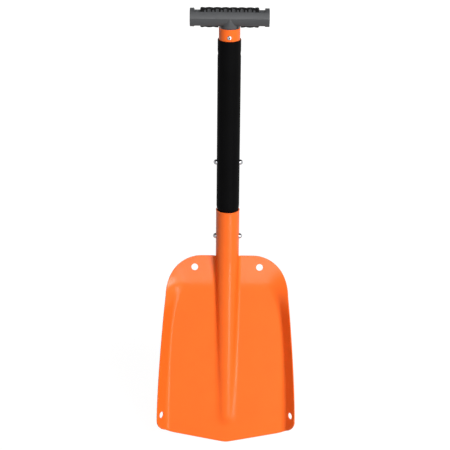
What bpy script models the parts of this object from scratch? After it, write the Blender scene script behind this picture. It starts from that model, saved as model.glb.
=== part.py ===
"""A take-down camp shovel, collapsed and standing upright.

A stamped sheet blade with a rolled socket takes the swaged neck of a middle tube. A handle tube
slides inside the middle tube. A spring clip with two snap buttons locks each joint. A T-handle with
a soft grip is riveted into the top of the handle tube.

Metres, +Z up along the shaft. The hollow front of the blade faces -Y and the T-handle lies along X.
While it is built, the centre of the socket's rim is at zero. At the end the whole shovel is moved so
that the middle of its lowest level is at the origin.
"""

from math import asin, atan, cos, exp, pi, radians, sin, sqrt, tan

import bmesh
import bpy
from mathutils import Vector

MM = 0.001

# Clearances
SLIDE_GAP = 0.3 * MM
SEAT_GAP = 0.3 * MM
HOLE_GAP = 0.3 * MM

# Blade outline: depths run down from the blade's top edge, half widths out from the middle
SHEET = 1.6 * MM
BLADE_LENGTH = 277.8 * MM
BLADE_HALF = 102.9 * MM
WIDEST_RISE = 44.8 * MM
SIDE_FLARE = 12.4 * MM
SIDE_CURVE = 1.45
TOP_EDGE_RUN = 17.5 * MM
BOTTOM_SLOPE = 0.182
TIP_SOFTNESS = 4 * MM
CORNER_RADIUS = 29 * MM

# Blade surface: lean of the wings, raised ridge, turned-up sides
WING_SETBACK = 10 * MM
TOP_LEAN = radians(20)
PANEL_LEAN = radians(10.5)
CREASE_DEPTH = 40 * MM
CREASE_SOFTNESS = 6 * MM
SCOOP = 8 * MM
RIDGE_REACH = 300 * MM
RIDGE_END_RISE = 22.8 * MM
RIDGE_END_RUN = 16 * MM
RIDGE_FOOT_RUN = 4.8 * MM
RIDGE_HALF_END = 17 * MM
RIDGE_CURVE = 1.3
RIDGE_FOOT_END = 0.8
RIDGE_FOOT_CURVE = 1.5
RIDGE_LEAST = 0.02 * MM
SIDE_RUN = 19.9 * MM
SIDE_RUN_TOP = 34.5 * MM
FLOOR_SPREAD = 35 * MM
FLANGE_RUN = 10.5 * MM
FLANGE_ANGLE = radians(56)
FLANGE_LEAST = radians(0.2)
FLANGE_START = 12 * MM
FLANGE_FULL = 85 * MM
LEAST_BEND_RUN = 4 * MM

# Blade holes
LASH_HOLE = 10 * MM
UPPER_HOLE_X = 48 * MM
UPPER_HOLE_DEPTH = 16 * MM
LOWER_HOLE_INSET = 6.2 * MM
LOWER_HOLE_RISE = 45.4 * MM

# Socket, measured from its rim
SOCKET_BORE = 30.8 * MM
SOCKET_LENGTH = 78.5 * MM
SEAM_GAP = 0.8 * MM
SEAM_OPENING = 18 * MM

# Tubes, measured from the socket's rim
TUBE_WALL = 1.2 * MM
HANDLE_TUBE_OD = 30 * MM
NECK_STOP = 0.5 * MM
SWAGE_START = 8 * MM
SWAGE_END = 1.5 * MM
MIDDLE_TOP = 255 * MM
COLLAR_LENGTH = 16.5 * MM
TUBE_BELOW_BUTTON = 20 * MM

# Spring clips and snap buttons
LOWER_BUTTON_DROP = 42 * MM
UPPER_BUTTON_HEIGHT = 72.9 * MM
LONG_HOLE_DROP = 20.3 * MM
BUTTON_DIAMETER = 7.8 * MM
BUTTON_REACH = 7.4 * MM
BUTTON_TAIL = 3.6 * MM
BUTTON_HEAD = 6.4 * MM
BUTTON_HEAD_THICK = 1.2 * MM
LEAF_WIDTH = 8 * MM
LEAF_THICK = 0.6 * MM
LEAF_PAD = 8 * MM
LEAF_RISE = 42 * MM
LEAF_BEND_RADIUS = 3 * MM

# T-handle: sizes along X are half lengths, angles rise from the front of the bar
BAR_HALF = 55.3 * MM
BAR_RADIUS = 13 * MM
BAR_CHAMFER = 1 * MM
BAR_BULGE = 0.5
END_FLANGE_WIDTH = 6.5 * MM
GROOVE_DEPTH = 2.5 * MM
GROOVE_WIDTH = 7.9 * MM
GROOVE_DRAFT = 0.3 * MM
RECESS_DEPTH = 1.8 * MM
RECESS_DRAFT = radians(0.5)
GRIP_PROUD = 0.2 * MM
GRIP_FRONT = radians(47)
GRIP_UNDER = radians(-55)
RIB_PITCH = 11.3 * MM
RIB_END_RUN = 1.5 * MM
RIB_HEIGHT = 0.9 * MM
RIB_ROUNDNESS = 0.7
RIB_FADE = radians(14)
NECK_STEP = 0.75 * MM
NECK_HEIGHT = 1.1 * MM
SPIGOT_LENGTH = 41 * MM
SPIGOT_GAP = 0.35 * MM
SPIGOT_WALL = 2.95 * MM
SPIGOT_BORE_TOP = 6 * MM

# Blind rivets that hold the T-handle
RIVET_RISE = 2.4 * MM
RIVET_SHANK = 4 * MM
RIVET_HEAD = 6 * MM
RIVET_HEAD_THICK = 1.2 * MM
RIVET_BORE = 2.3 * MM
RIVET_TAIL = 5.6 * MM
RIVET_TAIL_LENGTH = 1.6 * MM
STEM_DIAMETER = 1.7 * MM
STEM_RECESS = 0.7 * MM
STEM_HEAD = 3.4 * MM
STEM_HEAD_LENGTH = 1 * MM

# Facets
ROUND = 40
SMALL_ROUND = 20
CREST_STEPS = 14
FOOT_STEPS = 3
FLOOR_STEPS = 4
BEND_STEPS = 5
SOCKET_STEPS = 5
OPENING_STEPS = 4
DOME_STEPS = 5
SWAGE_STEPS = 4
LEAF_BEND_STEPS = 3
UNDER_STEPS = 3
FRONT_STEPS = 2
RECESS_STEPS = 20
SLEEVE_STEPS = 16
RIB_STEPS = 4
SHARP_ANGLE = radians(32)

# Shares of each column from the top edge to the bottom edge, close together at shoulder, crease and ridge end
BLADE_ROWS = (0, 0.004, 0.013, 0.027, 0.047, 0.073, 0.1, 0.122, 0.138, 0.153, 0.17, 0.195, 0.23, 0.28,
              0.34, 0.41, 0.48, 0.55, 0.62, 0.69, 0.76, 0.82, 0.86, 0.88, 0.9, 0.92, 0.95, 0.98, 1)
# Shares of the flange's width, closer together at its rim, where the corner turns
FLANGE_COLUMNS = (0.35, 0.62, 0.82, 0.94, 1)

# Worked-out sizes of the blade and socket
SOCKET_MID = SOCKET_BORE / 2 + SHEET / 2
SOCKET_OUT = SOCKET_BORE / 2 + SHEET
RIDGE_HALF_TOP = SOCKET_MID + RIDGE_FOOT_RUN
RIDGE_LENGTH = BLADE_LENGTH - RIDGE_END_RISE
WIDEST_DEPTH = BLADE_LENGTH - WIDEST_RISE
SHOULDER_HALF = BLADE_HALF - SIDE_FLARE
SHOULDER_RADIUS = SHOULDER_HALF - RIDGE_HALF_TOP - TOP_EDGE_RUN
FLOOR_HALF = BLADE_HALF - SIDE_RUN
FLOOR_HALF_TOP = SHOULDER_HALF - SIDE_RUN_TOP
CORNER_RUN = sqrt(1 + BOTTOM_SLOPE**2)
LOWER_HOLE_DEPTH = BLADE_LENGTH - LOWER_HOLE_RISE
LOWER_HOLE_X = BLADE_HALF - LOWER_HOLE_INSET
SHEET_CUT = 8 * SHEET

# Worked-out sizes of the tubes and locks
NECK_OUT = SOCKET_BORE / 2 - SLIDE_GAP
NECK_IN = NECK_OUT - TUBE_WALL
NECK_LENGTH = SOCKET_LENGTH - SEAM_OPENING - NECK_STOP
HANDLE_OUT = HANDLE_TUBE_OD / 2
HANDLE_IN = HANDLE_OUT - TUBE_WALL
MIDDLE_IN = HANDLE_OUT + SLIDE_GAP
MIDDLE_OUT = MIDDLE_IN + TUBE_WALL
HANDLE_TOP = MIDDLE_TOP + COLLAR_LENGTH
HANDLE_FOOT = UPPER_BUTTON_HEIGHT - TUBE_BELOW_BUTTON
LONG_HOLE_HEIGHT = MIDDLE_TOP - LONG_HOLE_DROP
BUTTON_HOLE = BUTTON_DIAMETER + 2 * HOLE_GAP
TUBE_CUT = 4 * max(SOCKET_OUT, MIDDLE_OUT)

# Worked-out sizes of the T-handle and rivets
BAR_Z = HANDLE_TOP + SEAT_GAP + NECK_HEIGHT + BAR_RADIUS
GROOVE_RADIUS = BAR_RADIUS - GROOVE_DEPTH
GROOVE_OUT = BAR_HALF - END_FLANGE_WIDTH
GRIP_HALF = GROOVE_OUT - GROOVE_WIDTH
RECESS_RADIUS = BAR_RADIUS - RECESS_DEPTH
GRIP_RADIUS = BAR_RADIUS + GRIP_PROUD
GRIP_END = GRIP_HALF - SEAT_GAP
SPIGOT_RADIUS = HANDLE_IN - SPIGOT_GAP
SPIGOT_BORE_RADIUS = SPIGOT_RADIUS - SPIGOT_WALL
NECK_RADIUS = SPIGOT_RADIUS - NECK_STEP
RIVET_Z = MIDDLE_TOP + RIVET_RISE + RIVET_HEAD / 2
RIVET_HOLE = RIVET_SHANK + 2 * HOLE_GAP
RIVET_UNDER = HANDLE_OUT + SEAT_GAP
RIVET_SET = sqrt(SPIGOT_BORE_RADIUS**2 - (RIVET_TAIL / 2) ** 2) - SEAT_GAP


def clear_scene():
    for thing in list(bpy.data.objects):
        bpy.data.objects.remove(thing, do_unlink=True)


def finish_material(name, colour, roughness, metallic):
    material = bpy.data.materials.new(name)
    material.use_nodes = True
    shader = material.node_tree.nodes["Principled BSDF"]
    shader.inputs["Base Color"].default_value = (*colour, 1)
    shader.inputs["Roughness"].default_value = roughness
    shader.inputs["Metallic"].default_value = metallic
    return material


def add_empty(name, parent=None):
    empty = bpy.data.objects.new(name, None)
    bpy.context.scene.collection.objects.link(empty)
    empty.parent = parent
    return empty


def add_piece(name, mesh, material, parent, location=(0, 0, 0), turn=0.0):
    """One named object with its own finish, parented to the frame that carries it."""
    mesh.shade_smooth()
    mesh.set_sharp_from_angle(angle=SHARP_ANGLE)
    piece = bpy.data.objects.new(name, mesh)
    bpy.context.scene.collection.objects.link(piece)
    if not piece.data.materials:
        piece.data.materials.append(material)
    piece.parent = parent
    piece.location = location
    piece.rotation_euler = (0, 0, turn)
    return piece


def mesh_from(name, points, faces):
    mesh = bpy.data.meshes.new(name)
    shape = bmesh.new()
    corners = [shape.verts.new(p) for p in points]
    for face in faces:
        shape.faces.new([corners[i] for i in face])
    bmesh.ops.recalc_face_normals(shape, faces=shape.faces)
    shape.to_mesh(mesh)
    shape.free()
    return mesh


def lathe(name, profile, axis, closed, segments):
    """A turned solid. The profile is (radius, height) pairs; an open one starts and ends on the axis."""
    turn = Vector((0, 0, 1)).rotation_difference(Vector(axis)).to_matrix()
    points, rings = [], []
    for radius, height in profile:
        count = segments if radius > 0 else 1
        rings.append([len(points) + k for k in range(count)])
        for k in range(count):
            angle = 2 * pi * (k + 0.5) / segments
            points.append(turn @ Vector((radius * cos(angle), radius * sin(angle), height)))
    pairs = list(zip(rings, rings[1:]))
    if closed:
        pairs.append((rings[-1], rings[0]))
    faces = []
    for lower, upper in pairs:
        for k in range(segments):
            corners = [lower[k % len(lower)], lower[(k + 1) % len(lower)]]
            corners += [upper[(k + 1) % len(upper)], upper[k % len(upper)]]
            faces.append(list(dict.fromkeys(corners)))
    return mesh_from(name, points, faces)


def loft(name, rings):
    """A solid through rings of points that all have the same count, with flat ends."""
    count = len(rings[0])
    points = [p for ring in rings for p in ring]
    faces = [list(range(count)), list(range(len(points) - count, len(points)))]
    for row in range(len(rings) - 1):
        for k in range(count):
            a = row * count + k
            b = row * count + (k + 1) % count
            faces.append([a, b, b + count, a + count])
    return mesh_from(name, points, faces)


def add_sheet(piece, thickness):
    """Gives an open surface its thickness, half to each side."""
    solidify = piece.modifiers.new("sheet", "SOLIDIFY")
    solidify.thickness = thickness
    solidify.offset = 0
    solidify.use_even_offset = True


def add_boolean(piece, cutter, operation="DIFFERENCE"):
    boolean = piece.modifiers.new(cutter.name, "BOOLEAN")
    boolean.operation = operation
    boolean.solver = "EXACT"
    boolean.object = cutter


def add_cutter(mesh, parent, location=(0, 0, 0)):
    cutter = bpy.data.objects.new(mesh.name, mesh)
    bpy.context.scene.collection.objects.link(cutter)
    cutter.parent = parent
    cutter.location = location
    cutter.hide_render = True
    cutter.display_type = "WIRE"
    return cutter


def drill(piece, name, diameter, length, place, axis):
    """A round hole, centred on a place and running along an axis."""
    radius = diameter / 2
    profile = [(0, -length / 2), (radius, -length / 2), (radius, length / 2), (0, length / 2)]
    mesh = lathe(name, profile, axis, False, SMALL_ROUND)
    add_boolean(piece, add_cutter(mesh, piece.parent, place))


def smooth_share(value, start, end):
    t = min(1.0, max(0.0, (value - start) / (end - start)))
    return t * t * (3 - 2 * t)


# Blade


def soft_ramp(depth):
    """Depth below the crease, rounded off at the crease itself."""
    past = depth - CREASE_DEPTH
    if past <= -CREASE_SOFTNESS:
        return 0.0
    if past >= CREASE_SOFTNESS:
        return past
    return (past + CREASE_SOFTNESS) ** 2 / (4 * CREASE_SOFTNESS)


def wing_y(depth):
    """The middle of the wings' sheet: steep above the crease, flatter below it, hollow to the tip."""
    below = soft_ramp(depth)
    forward = tan(TOP_LEAN) * depth + (tan(PANEL_LEAN) - tan(TOP_LEAN)) * below
    return WING_SETBACK - forward - SCOOP * (below / (BLADE_LENGTH - CREASE_DEPTH)) ** 2


def half_width(depth):
    """The blade's side: a round shoulder, then a long slow curve to the widest level."""
    if depth < SHOULDER_RADIUS:
        rise = SHOULDER_RADIUS - depth
        return SHOULDER_HALF - SHOULDER_RADIUS + sqrt(SHOULDER_RADIUS**2 - rise**2)
    t = min(1.0, (depth - SHOULDER_RADIUS) / (WIDEST_DEPTH - SHOULDER_RADIUS))
    return SHOULDER_HALF + SIDE_FLARE * (1 - (1 - t) ** SIDE_CURVE)


def bottom_depth(x):
    """The digging edge: two straight slopes that meet at a soft tip and turn up into round corners."""
    line = BLADE_LENGTH - BOTTOM_SLOPE * (sqrt(x * x + TIP_SOFTNESS**2) - TIP_SOFTNESS)
    centre_x = BLADE_HALF - CORNER_RADIUS
    if x < centre_x + CORNER_RADIUS * BOTTOM_SLOPE / CORNER_RUN:
        return line
    centre_line = BLADE_LENGTH - BOTTOM_SLOPE * (centre_x - TIP_SOFTNESS)
    centre_depth = centre_line - CORNER_RADIUS * CORNER_RUN
    return centre_depth + sqrt(max(0.0, CORNER_RADIUS**2 - (x - centre_x) ** 2))


def top_angle():
    """How far round the socket's wall runs before it turns out into a wing, at the top edge."""
    return 2 * atan((WING_SETBACK + SOCKET_MID) / RIDGE_HALF_TOP)


def top_span():
    return RIDGE_HALF_TOP / sin(top_angle())


def ridge_section(depth):
    """Height, half width, angle, and the crest's and foot's radii of the ridge below the socket.

    The crest heads for a point below the blade, and the ridge ends before that with a short blunt slope.
    """
    share = depth / RIDGE_REACH
    reach = -wing_y(RIDGE_REACH) - SOCKET_MID
    crest_y = -SOCKET_MID - reach * share**RIDGE_CURVE
    fade = 1 - smooth_share(depth, RIDGE_LENGTH - RIDGE_END_RUN, RIDGE_LENGTH)
    height = max(RIDGE_LEAST, (wing_y(depth) - crest_y) * fade)
    half = RIDGE_HALF_TOP + (RIDGE_HALF_END - RIDGE_HALF_TOP) * share
    angle = 2 * atan(height / half)
    span = half / sin(angle)
    foot_top = 1 - SOCKET_MID / top_span()
    foot = span * (foot_top + (RIDGE_FOOT_END - foot_top) * share**RIDGE_FOOT_CURVE)
    return height, half, angle, span - foot, foot


def side_section(depth):
    """Where the floor ends, where the flange starts, the rim, and the flange's angle."""
    rim = half_width(depth)
    fade = exp(-max(0.0, depth - CREASE_DEPTH) / FLOOR_SPREAD)
    floor = FLOOR_HALF - (FLOOR_HALF - FLOOR_HALF_TOP) * fade
    flange = rim - FLANGE_RUN
    angle = FLANGE_ANGLE * smooth_share(depth, FLANGE_START, FLANGE_FULL)
    return min(floor, flange - LEAST_BEND_RUN), flange, rim, max(FLANGE_LEAST, angle)


def blade_point(zone, t, depth):
    """A point of the sheet's middle surface, on the +X half."""
    height, half, ridge_angle, crest, foot = ridge_section(depth)
    floor, flange, rim, side_angle = side_section(depth)
    bend = (flange - floor) / sin(side_angle)
    if zone == "crest":
        x = crest * sin(t * ridge_angle)
        rise = height - crest * (1 - cos(t * ridge_angle))
    elif zone == "foot":
        x = half - foot * sin((1 - t) * ridge_angle)
        rise = foot * (1 - cos((1 - t) * ridge_angle))
    elif zone == "floor":
        x = half + t * (floor - half)
        rise = 0.0
    elif zone == "bend":
        x = floor + bend * sin(t * side_angle)
        rise = bend * (1 - cos(t * side_angle))
    else:
        x = flange + t * (rim - flange)
        rise = bend * (1 - cos(side_angle)) + (x - flange) * tan(side_angle)
    return Vector((x, wing_y(depth) - rise, -SOCKET_LENGTH - depth))


def blade_columns():
    columns = [("crest", k / CREST_STEPS) for k in range(CREST_STEPS + 1)]
    columns += [("foot", k / FOOT_STEPS) for k in range(1, FOOT_STEPS + 1)]
    columns += [("floor", k / FLOOR_STEPS) for k in range(1, FLOOR_STEPS + 1)]
    columns += [("bend", k / BEND_STEPS) for k in range(1, BEND_STEPS + 1)]
    return columns + [("flange", t) for t in FLANGE_COLUMNS]


def socket_rows():
    """(height above the top edge, angle that each half of the wall covers), up to the rim."""
    closed_angle = pi - asin(SEAM_GAP / 2 / SOCKET_MID)
    rows = []
    for k in range(1, OPENING_STEPS + 1):
        rise = k / OPENING_STEPS
        angle = top_angle() + (closed_angle - top_angle()) * sin(rise * pi / 2)
        rows.append((rise * SEAM_OPENING, angle))
    straight = SOCKET_LENGTH - SEAM_OPENING
    for k in range(1, SOCKET_STEPS + 1):
        rows.append((SEAM_OPENING + straight * k / SOCKET_STEPS, closed_angle))
    return rows


def mirrored_row(half_row):
    """A row of points from the -X end to the +X end, from its +X half."""
    left = [Vector((-p.x, p.y, p.z)) for p in half_row[:0:-1]]
    return left + half_row


def blade_sheet():
    """The middle surface of the one sheet that makes the blade and its rolled socket."""
    columns = blade_columns()
    lengths = [bottom_depth(blade_point(zone, t, BLADE_LENGTH).x) for zone, t in columns]
    points, faces = [], []
    width = 2 * len(columns) - 1
    for share in BLADE_ROWS:
        row = [blade_point(zone, t, share * length) for (zone, t), length in zip(columns, lengths)]
        points += mirrored_row(row)
    for r in range(len(BLADE_ROWS) - 1):
        for c in range(width - 1):
            a = r * width + c
            faces.append([a, a + width, a + width + 1, a + 1])
    below = [len(columns) - 1 - CREST_STEPS + c for c in range(2 * CREST_STEPS + 1)]
    for rise, angle in socket_rows():
        row = []
        for k in range(CREST_STEPS + 1):
            turn = angle * k / CREST_STEPS
            row.append(Vector((SOCKET_MID * sin(turn), -SOCKET_MID * cos(turn), rise - SOCKET_LENGTH)))
        above = [len(points) + c for c in range(len(below))]
        points += mirrored_row(row)
        for c in range(len(below) - 1):
            faces.append([below[c], below[c + 1], above[c + 1], above[c]])
        below = above
    return mesh_from("blade", points, faces)


def make_blade(parent, coat):
    blade = add_piece("blade", blade_sheet(), coat, parent)
    add_sheet(blade, SHEET)
    lock_level = (0, 0, -LOWER_BUTTON_DROP)
    drill(blade, "lower_button_holes", BUTTON_HOLE, TUBE_CUT, lock_level, (1, 0, 0))
    upper_axis = (0, -cos(TOP_LEAN), sin(TOP_LEAN))
    upper_z = -SOCKET_LENGTH - UPPER_HOLE_DEPTH
    _, flange, rim, angle = side_section(LOWER_HOLE_DEPTH)
    lower = blade_point("flange", (LOWER_HOLE_X - flange) / (rim - flange), LOWER_HOLE_DEPTH)
    for side, word in ((-1, "left"), (1, "right")):
        upper_place = (side * UPPER_HOLE_X, wing_y(UPPER_HOLE_DEPTH), upper_z)
        drill(blade, "upper_hole_" + word, LASH_HOLE, SHEET_CUT, upper_place, upper_axis)
        lower_place = (side * lower.x, lower.y, lower.z)
        lower_axis = (-side * sin(angle), -cos(angle), 0)
        drill(blade, "lower_hole_" + word, LASH_HOLE, SHEET_CUT, lower_place, lower_axis)


# Tubes


def make_middle_tube(parent, coat):
    """The black tube, with its lower end swaged down to a neck that enters the socket."""
    outside = [(NECK_OUT, -NECK_LENGTH)]
    inside = [(NECK_IN, -NECK_LENGTH)]
    for k in range(SWAGE_STEPS + 1):
        turn = pi / 2 * k / SWAGE_STEPS
        height = SWAGE_END + (SWAGE_START - SWAGE_END) * (1 - cos(turn))
        outside.append((NECK_OUT + (MIDDLE_OUT - NECK_OUT) * sin(turn), height))
        inside.append((NECK_IN + (MIDDLE_IN - NECK_IN) * sin(turn), height + TUBE_WALL / 2))
    outside.append((MIDDLE_OUT, MIDDLE_TOP))
    inside.append((MIDDLE_IN, MIDDLE_TOP))
    mesh = lathe("middle_tube", outside + inside[::-1], (0, 0, 1), True, ROUND)
    tube = add_piece("middle_tube", mesh, coat, parent)
    levels = {
        "neck_holes": -LOWER_BUTTON_DROP,
        "short_holes": UPPER_BUTTON_HEIGHT,
        "long_holes": LONG_HOLE_HEIGHT,
    }
    for name, level in levels.items():
        drill(tube, name, BUTTON_HOLE, TUBE_CUT, (0, 0, level), (1, 0, 0))


def make_handle_tube(parent, coat):
    profile = [(HANDLE_IN, HANDLE_FOOT), (HANDLE_OUT, HANDLE_FOOT)]
    profile += [(HANDLE_OUT, HANDLE_TOP), (HANDLE_IN, HANDLE_TOP)]
    mesh = lathe("handle_tube", profile, (0, 0, 1), True, ROUND)
    tube = add_piece("handle_tube", mesh, coat, parent)
    drill(tube, "handle_button_holes", BUTTON_HOLE, TUBE_CUT, (0, 0, UPPER_BUTTON_HEIGHT), (1, 0, 0))
    drill(tube, "handle_rivet_holes", RIVET_HOLE, TUBE_CUT, (0, 0, RIVET_Z), (0, 1, 0))


# Spring clips


def leaf_face(wall):
    """How far the leaf's outer face lies from the shaft's axis, just clear of a tube of that inner radius."""
    return sqrt(wall**2 - (LEAF_WIDTH / 2) ** 2) - SEAT_GAP


def make_clip(name, wall, level, parent, steel):
    """A V-shaped leaf: two pads that carry the buttons, two legs, and a round bend above."""
    pad = leaf_face(wall) - LEAF_THICK / 2
    leg = [(pad, -LEAF_PAD), (pad, 0), (pad, LEAF_PAD)]
    for k in range(LEAF_BEND_STEPS):
        turn = pi / 2 * k / LEAF_BEND_STEPS
        leg.append((LEAF_BEND_RADIUS * cos(turn), LEAF_RISE + LEAF_BEND_RADIUS * sin(turn)))
    path = leg + [(0, LEAF_RISE + LEAF_BEND_RADIUS)] + [(-x, z) for x, z in leg[::-1]]
    points = [(x, side * LEAF_WIDTH / 2, z) for side in (-1, 1) for x, z in path]
    count = len(path)
    faces = [[k, k + 1, count + k + 1, count + k] for k in range(count - 1)]
    clip = add_piece(name, mesh_from(name, points, faces), steel, parent, (0, 0, level))
    add_sheet(clip, LEAF_THICK)
    hole = BUTTON_TAIL + 2 * HOLE_GAP
    drill(clip, name + "_tail_holes", hole, TUBE_CUT, (0, 0, level), (1, 0, 0))


def button_mesh(name, tip):
    """A domed button with a tail and an inner head that grip the leaf. Its X = 0 is the leaf's outer face."""
    radius = BUTTON_DIAMETER / 2
    head = BUTTON_HEAD / 2
    tail = BUTTON_TAIL / 2
    back = -LEAF_THICK - SEAT_GAP
    profile = [(0, back - BUTTON_HEAD_THICK), (head, back - BUTTON_HEAD_THICK), (head, back)]
    profile += [(tail, back), (tail, SEAT_GAP), (radius, SEAT_GAP)]
    for k in range(DOME_STEPS):
        turn = pi / 2 * k / DOME_STEPS
        profile.append((radius * cos(turn), tip - radius + radius * sin(turn)))
    profile.append((0, tip))
    return lathe(name, profile, (1, 0, 0), False, SMALL_ROUND)


def make_locks(word, wall, level, parent, steel, chrome):
    """One clip and its two buttons, each with its origin on the line that it is pressed along."""
    make_clip(word + "_clip_spring", wall, level, parent, steel)
    face = leaf_face(wall)
    mesh = button_mesh(word + "_button", wall + BUTTON_REACH - face)
    for side, hand, turn in ((-1, "left", pi), (1, "right", 0.0)):
        add_piece(f"{word}_button_{hand}", mesh, chrome, parent, (side * face, 0, level), turn)


# T-handle


def front_radius(angle):
    """The grey front of the bar: two soft flats that meet in a crease at the middle of the front."""
    low, high = (0.0, GRIP_FRONT) if angle >= 0 else (GRIP_UNDER, 0.0)
    middle = (low + high) / 2
    chord = BAR_RADIUS * cos((high - low) / 2) / cos(angle - middle)
    return BAR_BULGE * BAR_RADIUS + (1 - BAR_BULGE) * chord


def bar_angles():
    """Angles round the bar: the bare front first, then the recess that the grip lies in."""
    front = [GRIP_UNDER + RECESS_DRAFT]
    front += [GRIP_UNDER * (UNDER_STEPS - k) / UNDER_STEPS for k in range(1, UNDER_STEPS + 1)]
    front += [GRIP_FRONT * k / FRONT_STEPS for k in range(1, FRONT_STEPS)]
    front.append(GRIP_FRONT - RECESS_DRAFT)
    start = GRIP_FRONT + RECESS_DRAFT
    sweep = 2 * pi + GRIP_UNDER - RECESS_DRAFT - start
    recess = [start + sweep * k / RECESS_STEPS for k in range(RECESS_STEPS + 1)]
    return front, recess


def around_bar(x, radius, angle):
    return Vector((x, -radius * cos(angle), BAR_Z + radius * sin(angle)))


def make_tee_core(parent, plastic):
    """The grey bar, its neck, and the hollow spigot inside the handle tube.

    The bare front runs from end to end. Each end groove goes round the rest of the bar.
    """
    front, recess = bar_angles()
    stations = [(BAR_HALF, BAR_CHAMFER, BAR_RADIUS - BAR_CHAMFER)]
    stations += [(BAR_HALF - BAR_CHAMFER, 0, BAR_RADIUS), (GROOVE_OUT, 0, BAR_RADIUS)]
    stations += [(GROOVE_OUT - GROOVE_DRAFT, 0, GROOVE_RADIUS), (GRIP_HALF + GROOVE_DRAFT, 0, GROOVE_RADIUS)]
    stations += [(GRIP_HALF, 0, RECESS_RADIUS)]
    half = []
    for x, inset, radius in stations:
        bare = [around_bar(x, front_radius(t) - inset, t) for t in front]
        half.append(bare + [around_bar(x, radius, t) for t in recess])
    other = [[Vector((-p.x, p.y, p.z)) for p in ring] for ring in half[::-1]]
    core = add_piece("tee_core", loft("tee_core", half + other), plastic, parent)

    foot = HANDLE_TOP - SPIGOT_LENGTH
    bore_top = HANDLE_TOP - SPIGOT_BORE_TOP
    shoulder = HANDLE_TOP - SEAT_GAP
    profile = [(0, bore_top), (SPIGOT_BORE_RADIUS, bore_top), (SPIGOT_BORE_RADIUS, foot)]
    profile += [(SPIGOT_RADIUS, foot), (SPIGOT_RADIUS, shoulder)]
    profile += [(NECK_RADIUS, shoulder), (NECK_RADIUS, BAR_Z), (0, BAR_Z)]
    stem = lathe("tee_spigot", profile, (0, 0, 1), False, ROUND)
    add_boolean(core, add_cutter(stem, parent), "UNION")
    drill(core, "spigot_rivet_holes", RIVET_HOLE, TUBE_CUT, (0, 0, RIVET_Z), (0, 1, 0))


def rib_height(x):
    """Rounded ribs side by side along the grip, with a valley at its middle. They fade out at its ends."""
    fade = min(1.0, (GRIP_END - abs(x)) / RIB_END_RUN)
    return RIB_HEIGHT * fade * abs(sin(pi * x / RIB_PITCH)) ** RIB_ROUNDNESS


def grip_stations():
    """Places along the grip, evenly spaced from its middle, and its two ends."""
    step = RIB_PITCH / RIB_STEPS
    count = int((GRIP_END - RIB_END_RUN) / step)
    return [-GRIP_END] + [step * k for k in range(-count, count + 1)] + [GRIP_END]


def make_tee_grip(parent, rubber):
    """The soft grip: a ribbed sleeve, open along the bar's bare front and cut round the handle tube."""
    inner = RECESS_RADIUS + SEAT_GAP
    edge_gap = SEAT_GAP / inner
    start = GRIP_FRONT + RECESS_DRAFT + edge_gap
    end = 2 * pi + GRIP_UNDER - RECESS_DRAFT - edge_gap
    angles = [start + (end - start) * k / SLEEVE_STEPS for k in range(SLEEVE_STEPS + 1)]
    rings = []
    for x in grip_stations():
        ring = []
        for t in angles:
            fade = min(1.0, (t - start) / RIB_FADE, (end - t) / RIB_FADE)
            ring.append(around_bar(x, GRIP_RADIUS + rib_height(x) * fade, t))
        rings.append(ring + [around_bar(x, inner, t) for t in angles[::-1]])
    grip = add_piece("tee_grip", loft("tee_grip", rings), rubber, parent)

    low = HANDLE_TOP - BAR_RADIUS
    high = BAR_Z + SEAT_GAP
    clear = HANDLE_OUT + SEAT_GAP
    profile = [(0, low), (clear, low), (clear, high), (0, high)]
    notch = lathe("grip_tube_notch", profile, (0, 0, 1), False, ROUND)
    add_boolean(grip, add_cutter(notch, parent))


# Rivets


def rivet_mesh():
    """A blind rivet along X: domed head outside the tube, hollow shank, and a set tail in the spigot."""
    bore = RIVET_BORE / 2
    shank = RIVET_SHANK / 2
    head = RIVET_HEAD / 2
    tail = RIVET_TAIL / 2
    profile = [(bore, RIVET_SET - RIVET_TAIL_LENGTH), (tail, RIVET_SET - RIVET_TAIL_LENGTH / 2)]
    profile += [(tail, RIVET_SET), (shank, RIVET_SET), (shank, RIVET_UNDER), (head, RIVET_UNDER)]
    for k in range(1, DOME_STEPS):
        turn = pi / 2 * k / DOME_STEPS
        profile.append((bore + (head - bore) * cos(turn), RIVET_UNDER + RIVET_HEAD_THICK * sin(turn)))
    profile.append((bore, RIVET_UNDER + RIVET_HEAD_THICK))
    return lathe("rivet", profile, (1, 0, 0), True, SMALL_ROUND)


def stem_mesh():
    """The broken-off stem that stays inside a blind rivet, with its head behind the tail."""
    outer = RIVET_UNDER + RIVET_HEAD_THICK - STEM_RECESS
    head = RIVET_SET - RIVET_TAIL_LENGTH - SEAT_GAP
    head_radius = STEM_HEAD / 2
    radius = STEM_DIAMETER / 2
    profile = [(0, head - STEM_HEAD_LENGTH), (head_radius, head - STEM_HEAD_LENGTH), (head_radius, head)]
    profile += [(radius, head), (radius, outer), (0, outer)]
    return lathe("rivet_stem", profile, (1, 0, 0), False, SMALL_ROUND)


def make_rivets(parent, aluminium, steel):
    rivet = rivet_mesh()
    stem = stem_mesh()
    for word, turn in (("front", -pi / 2), ("rear", pi / 2)):
        add_piece("rivet_" + word, rivet, aluminium, parent, (0, 0, RIVET_Z), turn)
        add_piece("rivet_stem_" + word, stem, steel, parent, (0, 0, RIVET_Z), turn)


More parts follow.
